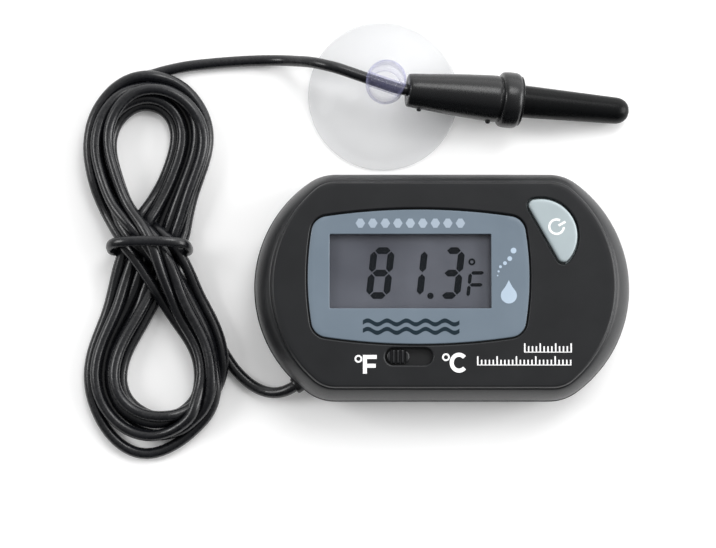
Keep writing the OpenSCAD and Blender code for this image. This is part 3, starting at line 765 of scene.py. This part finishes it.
CELL_X, CELL_Y = 6.2, -8.3  # the button cells' axes, one on each side
rear_loops = [head_loop(between(t), z) for z, t in REAR_RIM]
rear = stack("rear_case", rear_loops, MATERIALS["head_plastic"])
hollow = slab(inset(2.2), 1.6, 5.1)
for x, y in HOUSING_SCREWS:
    combine(hollow, post(x, y, 2.4, 1.4, 4.5))
for x in (-CELL_X, CELL_X):
    wall = post(x, CELL_Y, 6.6, 1.4, 6, 64)
    combine(wall, post(x, CELL_Y, 5.95, 1.3, 6.1, 64))
    combine(hollow, wall)
combine(rear, hollow)
for x, y in HOUSING_SCREWS:
    well = ((2.05, -0.1), (1.95, 0.0), (1.75, 0.2), (1.75, 1.8))
    combine(rear, cutter([circle(x, y, r, z, 40) for r, z in well]))
    combine(rear, post(x, y, 1, 1.7, 5.2))
# The door's opening, the groove for its rails, the room for the cells and the door's tongue
combine(rear, box_object(-12.5, 12.5, -20, -1.7, -1, 1.15))
combine(rear, box_object(-13.3, 13.3, -20, -1.7, 0.5, 1.15))
combine(rear, box_object(-12.1, 12.1, -14.2, -2.4, 0, 1.7))
combine(rear, box_object(-9.3, 9.3, -20, -14, 0, 1.6))
along_exit = FACING_UP.rotation_difference(Vector(EXIT_DIR)).to_matrix().to_4x4()
AT_EXIT = Matrix.Translation(Vector(EXIT)) @ along_exit
exit_bore = [(0, -6), (1.45, -6), (1.45, 3), (0, 3)]
combine(rear, lathe("cutter", exit_bore, MATERIALS["head_plastic"], AT_EXIT, 40))
shade(rear)
add(rear, "root", ("rear_shell",))

# -------------------------------- battery door

# Cut out of the rear shell's own shape, with finger grooves and a rail on each side
door = stack("battery_cover", rear_loops, MATERIALS["head_plastic"])
panel_outline = rounded_box(-12.4, 12.4, -22, -1.8, 0.5)
panel = cutter(layers(panel_outline, [(-0.5, -0.15), (0.0, -0.15), (0.15, 0), (1.1, 0)]))
combine(panel, box_object(-9.2, 9.2, -22, -16.5, 0.5, 1.55), "UNION")
combine(door, panel, "INTERSECT")
for i in range(5):
    y = -14.6 + 1.1 * i
    groove = rounded_box(-5, 5, y, y + 0.5, 0.24)
    combine(door, cutter(layers(groove, [(-1, 0.3), (0.0, 0.06), (0.08, 0), (0.3, -0.1)])))
for side in (-1, 1):
    rail = box_object(side * 12.75 - 0.4, side * 12.75 + 0.4, -15.5, -1.8, 0.55, 1.1)
    combine(door, rail, "UNION")
shade(door)
add(door, "battery_door", ("battery_door",))

# -------------------------------- fascia

fascia_rings = [(12.1, -0.05), (12.14, 0.0), (12.68, 0.0), (12.74, -0.015), (12.79, -0.05),
                (12.83, -0.1), (FASCIA_Z, -0.17), (FASCIA_Z, -0.8)]
fascia = stack("fascia_trim", layers(barrel, fascia_rings), MATERIALS["fascia_plastic"])
combine(fascia, flared(window, 0, 11.9, FASCIA_Z, 0.12, 13.1))
shade(fascia)
add(fascia, "root", ("fascia_plate",))

# -------------------------------- power button

button_rings = [(10.6, 0.75), (10.65, 0.8), (11.3, 0.8), (11.35, 0.75), (11.35, 0.0), (12.98, 0.0),
                (13.1, -0.02), (13.2, -0.07), (13.28, -0.15), (13.33, -0.26), (BUTTON_Z, -0.4),
                (BUTTON_Z, -0.7)]
button = stack("power_key", layers(half_moon, button_rings), MATERIALS["button_plastic"])
combine(button, post(*DOME_AT, 2.1, 10.3, 10.62), "UNION")
shade(button)
add(button, "power_button", ("power_button",))

# The silicone dome and its contact pill give way under the key
dome_profile = [(0, 9.7), (1.7, 9.7), (1.95, 9.6), (3.1, 8.8), (3.3, 8.7), (4.3, 8.7), (4.3, 9.15),
                (4.25, 9.2), (3.6, 9.2), (3.5, 9.24), (2.35, 10.2), (2.1, 10.3), (0, 10.3)]
pill_profile = [(0, 9.35), (1.22, 9.35), (1.3, 9.4), (1.3, 9.7), (0, 9.7)]
for name, node, slot_name, profile in (("key_dome", "button_dome", "silicone", dome_profile),
                                       ("contact_pill", "carbon_pill", "carbon", pill_profile)):
    soft = lathe(name, profile, MATERIALS[slot_name], Matrix.Translation((*DOME_AT, 0)), 48)
    shade(soft)
    add(soft, "root", (node,))
    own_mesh(soft)

# -------------------------------- unit switch

knob_outline = stadium(KNOB_X - KNOB_L / 2, KNOB_X + KNOB_L / 2, SLOT_Y, KNOB_W, 12)
knob_rings = [(11.1, -0.05), (11.15, 0), (12.5, 0), (12.62, -0.03), (12.7, -0.1), (12.75, -0.22),
              (12.75, -0.4)]
knob = stack("unit_slider", layers(knob_outline, knob_rings), MATERIALS["switch_plastic"])
for i in (-1.5, -0.5, 0.5, 1.5):
    groove_x = KNOB_X + 0.7 * i
    combine(knob, cutter([[(groove_x - w, SLOT_Y - 2, z), (groove_x + w, SLOT_Y - 2, z),
                           (groove_x + w, SLOT_Y + 2, z), (groove_x - w, SLOT_Y + 2, z)]
                          for w, z in ((0.05, 12.4), (0.16, 12.6), (0.26, 12.9))]))
# The skirt that keeps the slot covered, the stem and the foot in the switch's can
for half_l, half_w, z0, z1 in ((5.7, 1.8, 10.85, 11.3), (0.7, 0.6, 9.6, 11.2),
                               (1.8, 1.3, 9.1, 10.2)):
    combine(knob, box_object(KNOB_X - half_l, KNOB_X + half_l, SLOT_Y - half_w, SLOT_Y + half_w,
                             z0, z1), "UNION")
shade(knob)
add(knob, "unit_switch", ("switch_knob",))

# -------------------------------- printed marks

MARK_T, MARK_SINK = 0.02, 0.005  # height of a print, and how far it goes into its surface


def plate(name, outlines, z, material, body="root"):
    """Thin print: each outline is a closed loop of points in millimetres."""
    verts, faces = [], []
    for loop in outlines:
        n, start = len(loop), len(verts)
        verts += [(x, y, z - MARK_SINK) for x, y in loop] + [(x, y, z + MARK_T) for x, y in loop]
        faces += [(start + i, start + (i + 1) % n, start + n + (i + 1) % n, start + n + i)
                  for i in range(n)]
        faces += [tuple(start + i for i in reversed(range(n))), tuple(start + n + i for i in range(n))]
    o = mesh_object(name, verts, faces, material)
    face_outwards(o)
    add(o, body)


def band(c, r0, r1, a0, a1, n):
    """Part of a ring."""
    return arc(c, r1, a0, a1, n) + list(reversed(arc(c, r0, a0, a1, n)))


def ring(c, r0, r1):
    """Ring as one outline, open by a hair so that it stays one closed solid."""
    return [band(c, r0, r1, 0, 359.4, 48)]


def letter_f(x0, x1, y0, y1, w):
    """F as one outline with strokes of width w."""
    mid, arm = y1 - 0.47 * (y1 - y0), x1 - 0.25 * w
    return [[(x0, y0), (x0 + w, y0), (x0 + w, mid - w), (arm, mid - w), (arm, mid), (x0 + w, mid),
             (x0 + w, y1 - w), (x1, y1 - w), (x1, y1), (x0, y1)]]


def letter_c(x0, x1, y0, y1, w):
    """C as part of an oval band of width w, open by 84 degrees to the right."""
    cx, cy = (x0 + x1) / 2, (y0 + y1) / 2
    rx, ry = (x1 - x0) / 2 + 0.1, (y1 - y0) / 2
    turns = np.radians(np.linspace(42, 318, 40))
    outer = [(cx + rx * math.cos(a), cy + ry * math.sin(a)) for a in turns]
    inner = [(cx + (rx - w) * math.cos(a), cy + (ry - w) * math.sin(a)) for a in reversed(turns)]
    return [outer + inner]


def comb(x0, y, count, every, tall, short):
    """Ticks standing on a base line as one outline, every so many of them a tall one."""
    w, step, base = 0.22, 0.6, 0.12
    right = x0 + step * (count - 1) + w
    points = [(x0, y - base), (right, y - base)]
    for i in reversed(range(count)):
        x, top = x0 + step * i, y + (tall if i % every == 0 else short)
        tick = [(x + w, y), (x + w, top), (x, top), (x, y)]
        if i == count - 1:
            tick = tick[1:]
        elif i == 0:
            tick = tick[:3]
        points += tick
    return points


plate("mark_fahrenheit", ring((-13.3, -11.6), 0.33, 0.6)
      + letter_f(-12.6, -10.45, -13.9, -11.0, 0.62), PLATEAU_Z, MARK_WHITE)
plate("mark_celsius", ring((0.28, -11.35), 0.33, 0.6)
      + letter_c(0.95, 3.65, -13.75, -10.65, 0.64), PLATEAU_Z, MARK_WHITE)
# A plain scale of ticks in two rows at the lower right
plate("mark_scale", [comb(12.4, -10.5, 13, 4, 1.3, 0.85), comb(5.1, -12.5, 25, 5, 1.3, 0.75)],
      PLATEAU_Z, MARK_WHITE)


def lozenge(x, y):
    half_l, half_w, half_top = 0.75, 0.72, 0.3
    return [(x - half_l, y), (x - half_top, y - half_w), (x + half_top, y - half_w), (x + half_l, y),
            (x + half_top, y + half_w), (x - half_top, y + half_w)]


def wave(x0, x1, y):
    w, height, length = 0.66, 0.3, 3.0
    xs = np.linspace(x0, x1, 120)
    middle = y + height * np.sin((xs - x0) * 2 * math.pi / length)
    lower = [(x, m - w / 2) for x, m in zip(xs, middle)]
    upper = [(x, m + w / 2) for x, m in zip(xs[::-1], middle[::-1])]
    return lower + upper


def drop(x, y):
    """Pointed drop, its round end centred on x, y."""
    r = 1.25
    side = [(r * math.cos(a), r * math.sin(a)) for a in np.radians(np.linspace(-90, 38, 24))]
    side += [(0.55, 1.35), (0.22, 1.95)]
    return ([(x + dx, y + dy) for dx, dy in side] + [(x, y + 2.4)]
            + [(x - dx, y + dy) for dx, dy in reversed(side[1:])])


# Fascia prints: a greyed row of lozenges above the window, waves below, a drop and bubbles beside
bubbles = [(10.87, 5.26, 0.45), (10.27, 4.0, 0.37), (9.52, 3.29, 0.3), (8.81, 2.73, 0.23),
           (8.53, 2.01, 0.17), (8.37, 1.34, 0.12)]
plate("mark_row", [lozenge(-13.0 + 1.95 * i, 9.55) for i in range(9)], FASCIA_Z, MARK_ROW)
plate("mark_waves", [wave(-12.6, 2.4, y) for y in (-5.95, -7.25)], FASCIA_Z, MARK_DARK)
plate("mark_bubbles", [arc((x, y), r, 0, 352.5, 47) for x, y, r in bubbles] + [drop(10.1, -1.75)],
      FASCIA_Z, MARK_PALE)

# Power symbol, turned as the button is
SYMBOL_AT = (17.55, 8.95)
stroke = [(-0.18, 0.35), (0.18, 0.35), (0.18, 1.6), (-0.18, 1.6)]
plate("mark_power", [turned(points, SYMBOL_AT, BUTTON_TURN)
                     for points in (band((0, 0), 0.95, 1.3, 122, 418, 48), stroke)],
      BUTTON_Z, MARK_WHITE, "power_button")

# Display segments, leaning a little to the right
LEAN = math.tan(math.radians(6.5))


def segment_digit(x, y, w, h, thick, gap, lit):
    """Seven segment digit with its lower left corner at x, y."""
    k = thick / 2
    mid = h / 2

    def across(at):
        left, right = gap + k, w - gap - k
        return [(left, at), (left + k, at - k), (right - k, at - k), (right, at),
                (right - k, at + k), (left + k, at + k)]

    def up(at, low, high):
        return [(at, low), (at + k, low + k), (at + k, high - k), (at, high), (at - k, high - k),
                (at - k, low + k)]

    shapes = {"a": across(h - k), "g": across(mid), "d": across(k),
              "f": up(k, mid + gap, h - k - gap), "b": up(w - k, mid + gap, h - k - gap),
              "e": up(k, k + gap, mid - gap), "c": up(w - k, k + gap, mid - gap)}
    return [[(x + px + LEAN * py, y + py) for px, py in shapes[s]] for s in lit]


display = (segment_digit(-12.2, -2.2, 3.75, 8.1, 1.06, 0.13, "abcdefg")
           + segment_digit(-7.0, -2.2, 3.75, 8.1, 1.06, 0.13, "bc")
           + segment_digit(-0.95, -2.2, 3.5, 8.1, 1.06, 0.13, "abcdg")
           + segment_digit(3.5, -2.15, 2.75, 4.3, 0.55, 0.09, "aefg")
           + [arc((-2.04, -1.72), 0.5, 0, 345, 23)] + ring((4.45, 3.6), 0.24, 0.55))
plate("display_digits", display, DISPLAY_Z, SEGMENT)

# -------------------------------- lead bush

bush_profile = [(0.93, -3.2), (1.38, -3.2), (1.4, -3.0), (1.4, 0.3), (1.38, 0.5), (1.3, 0.66),
                (1.16, 0.74), (1.0, 0.74), (0.93, 0.66)]
grommet = lathe("lead_bush", bush_profile, MATERIALS["probe_plastic"], AT_EXIT, 48)
shade(grommet)
add(grommet, "root", ("cable_grommet",))

# -------------------------------- probe

# The probe lies from the cup's height down to its tip on the floor, turned a little to the front.
# Its own frame starts at the lead and runs along the probe.
PROBE_AT = Vector((-5.5, 31.45, 7.4))
PROBE_L, TIP_R, TUBE_R = 36.5, 2.15, 2.65
TUBE_FROM, TIP_FROM = 17.5, 34.2
turn = math.radians(-4.14)
dip = math.asin((PROBE_AT.z - TIP_R) / (PROBE_L - TIP_R))
probe_dir = Vector((math.cos(turn) * math.cos(dip), math.sin(turn) * math.cos(dip), -math.sin(dip)))
side_dir = Vector((-probe_dir.y, probe_dir.x, 0)).normalized()
probe_axes = Matrix((side_dir, probe_dir.cross(side_dir), probe_dir)).transposed().to_4x4()
AT_PROBE = Matrix.Translation(PROBE_AT) @ probe_axes

# Up the tapered sleeve, over its step and collar, and back through the bores for tube and lead
sleeve_profile = [(0.93, 6), (0.93, 0.1), (1.05, 0.0), (2.3, 0.0), (2.5, 0.06), (2.62, 0.2),
                  (2.68, 0.45), (2.76, 1.4), (2.9, 3.1), (3.1, 5.1), (3.28, 7.1), (3.45, 9.2),
                  (3.59, 11.3), (3.69, 12.9), (3.73, 13.9), (3.74, 14.4), (3.71, 14.7),
                  (3.62, 14.9), (3.64, 15.02), (3.95, 15.06), (4.18, 15.16), (4.35, 15.36),
                  (4.43, 15.66), (4.47, 16.1), (4.48, 16.65), (4.47, 17.2), (4.43, 17.55),
                  (4.35, 17.8), (4.2, 17.98), (4.02, 18.06), (3.92, 18.1), (3.9, 18.2),
                  (3.98, 18.28), (3.98, 18.4), (3.88, 18.46), (3.3, 18.46), (3.1, 18.42),
                  (3.02, 18.3), (3.0, 18.1), (3.0, 17.2), (2.02, 17.2), (2.02, 12), (1.7, 12),
                  (1.7, 6)]
sleeve = stack("probe_grip", turned_loops(sleeve_profile, AT_PROBE, 120),
               MATERIALS["probe_plastic"], closed=True)
pip_profile = [(0, 0), (0.42, 0), (0.4, 0.5), (0.3, 0.66), (0.14, 0.74), (0, 0.75)]
upwards = Matrix.Rotation(math.radians(-90), 4, "Y")
for z, sleeve_r in ((2.1, 2.8), (13.4, 3.71)):
    at = AT_PROBE @ Matrix.Translation((-sleeve_r + 0.3, 0, z)) @ upwards
    combine(sleeve, lathe("pip", pip_profile, MATERIALS["probe_plastic"], at, 24), "UNION")
melt_slivers(sleeve)
shade(sleeve, 50, False)
add(sleeve, "root", ("probe_sleeve",))

taper = (TUBE_R - TIP_R) / (TIP_FROM - TUBE_FROM)
tube_profile = [(0, 12.3), (2.0, 12.3), (2.0, 17.25), (2.6, 17.35), (TUBE_R, TUBE_FROM)]
tube_profile += [(TUBE_R - taper * (z - TUBE_FROM), z) for z in (19, 21, 24, 27, 30, 32, 33.5)]
for degrees in (0, 10, 20, 30, 40, 50, 60, 68, 76, 83, 90):
    a = math.radians(degrees)
    tube_profile.append((TIP_R * math.cos(a) ** 0.8, TIP_FROM + (PROBE_L - TIP_FROM) * math.sin(a)))
# The tube takes the darker copy of the probe's plastic: painted shade, not a plastic of its own
tube = lathe("sensor_tube", tube_profile, TUBE_SHADED_PLASTIC, AT_PROBE, 120)
shade(tube, 50, False)
add(tube, "root", ("probe_tube",))

# -------------------------------- suction cup

# The cup from its inner face over the rim and the neck to the top of its knob
CUP_AT = Vector((-9.2, 32.4, 0))
CUP_BORE_R, CUP_BORE_Z = 1.15, 7.6
cup_profile = [(0.001, 2.55), (1.6, 2.5), (3.5, 2.1), (5.5, 1.68), (7.5, 1.18), (9.3, 0.55),
               (10.5, 0.08), (10.9, 0.0), (11.8, 0.0), (12.12, 0.08), (12.2, 0.25), (12.17, 0.45),
               (11.9, 0.62), (10.8, 0.95), (9.5, 1.5), (8.0, 2.1), (6.5, 2.62), (5.0, 3.2),
               (3.9, 3.85), (3.0, 4.55), (2.6, 5.05), (2.5, 5.4), (2.6, 5.7), (2.95, 6.0),
               (3.15, 6.35), (3.2, 6.8), (3.2, 8.6), (3.14, 9.2), (2.95, 9.7), (2.6, 10.1),
               (2.1, 10.38), (1.4, 10.54), (0.7, 10.59), (0.001, 10.6)]
dense = spline([(r, z, 0) for r, z in cup_profile], 3)[:, :2]
cup = lathe("sucker", [(max(r, 0.001), max(z, 0)) for r, z in dense], MATERIALS["cup_pvc"],
            Matrix.Translation(CUP_AT), 144)
for v in cup.data.vertices:  # the soft cup leans, its knob pulled towards the top right
    z = v.co.z / MM
    v.co.x += (-0.1 + 0.05 * z) * MM
    v.co.y += (-0.75 + 0.135 * z) * MM
lead_turn = math.radians(-19)
lead_dir = Vector((math.cos(lead_turn), math.sin(lead_turn), 0))
along_lead = FACING_UP.rotation_difference(lead_dir).to_matrix().to_4x4()
AT_BORE = Matrix.Translation(CUP_AT + Vector((0, 0, CUP_BORE_Z))) @ along_lead
cup_bore = [(0, -5), (CUP_BORE_R, -5), (CUP_BORE_R, 5), (0, 5)]
combine(cup, lathe("cutter", cup_bore, MATERIALS["cup_pvc"], AT_BORE, 40))
shade(cup, 40, False)
add(cup, "suction_cup", ("suction_cup",))

# -------------------------------- resin dome on the board

blob_profile = [(0, 6.4), (0.9, 6.41), (1.8, 6.5), (2.6, 6.65), (3.2, 6.82), (3.7, 7.05), (4.0, 7.3),
                (4.15, 7.5), (4.2, 7.7), (0, 7.7)]
blob = lathe("controller_dome", blob_profile, MATERIALS["epoxy"], Matrix.Translation((-11, 8.4, 0)),
             64)
shade(blob)
add(blob, "root", ("controller_blob",))

# -------------------------------- carried-over CAD parts

for part in frame["record"]["subparts"]:
    node = frame["nodes"].get(part["node"])
    if node is None or node.hide_render:
        continue
    for s in node.material_slots:
        s.material = MATERIALS[part["material_slot"]]

# -------------------------------- floor and light

FLOOR_HALF, FLOOR_Z = 3000, -0.02  # just under the object, so that no faces coincide
corners = [(x * FLOOR_HALF, y * FLOOR_HALF, FLOOR_Z) for x, y in ((-1, -1), (1, -1), (1, 1), (-1, 1))]
floor = mesh_object("table", corners, [(0, 1, 2, 3)], FLOOR)

world = bpy.data.worlds.new("studio")
world.use_nodes = True
tree = world.node_tree
background = tree.nodes["Background"]
direction = tree.nodes.new("ShaderNodeSeparateXYZ")
generated = tree.nodes.new("ShaderNodeTexCoord").outputs["Generated"]
tree.links.new(generated, direction.inputs["Vector"])
# Darker overhead than round the sides, brighter to the right and behind, dark in front
strength = spread(tree, direction.outputs["Z"], 1.15, 0.44, 0.05, 1.0)
for axis, low, high in (("X", 0.65, 2.3), ("Y", 0.0, 1.25)):
    share = spread(tree, direction.outputs[axis], low, high, -0.9, 0.9)
    strength = calculate(tree, "MULTIPLY", strength, share)
tree.links.new(strength, background.inputs["Strength"])
background.inputs["Color"].default_value = (1, 1, 1, 1)
scene.world = world


def area_light(name, location, target, size, power):
    data = bpy.data.lights.new(name, "AREA")
    data.energy = power
    data.size = size
    o = bpy.data.objects.new(name, data)
    o.location = location
    o.rotation_euler = (Vector(target) - Vector(location)).to_track_quat("-Z", "Y").to_euler()
    scene.collection.objects.link(o)


# Places, sizes and watts, in metres
area_light("key", (0.2, 0.4, 0.6), (-0.01, 0, 0), 0.3, 1.6)
area_light("fill", (-0.5, 0.12, 0.42), (-0.01, 0, 0), 0.26, 1.4)
area_light("right_panel", (0.6, 0.02, 0.25), (0.02, 0, 0.01), 0.42, 3.3)
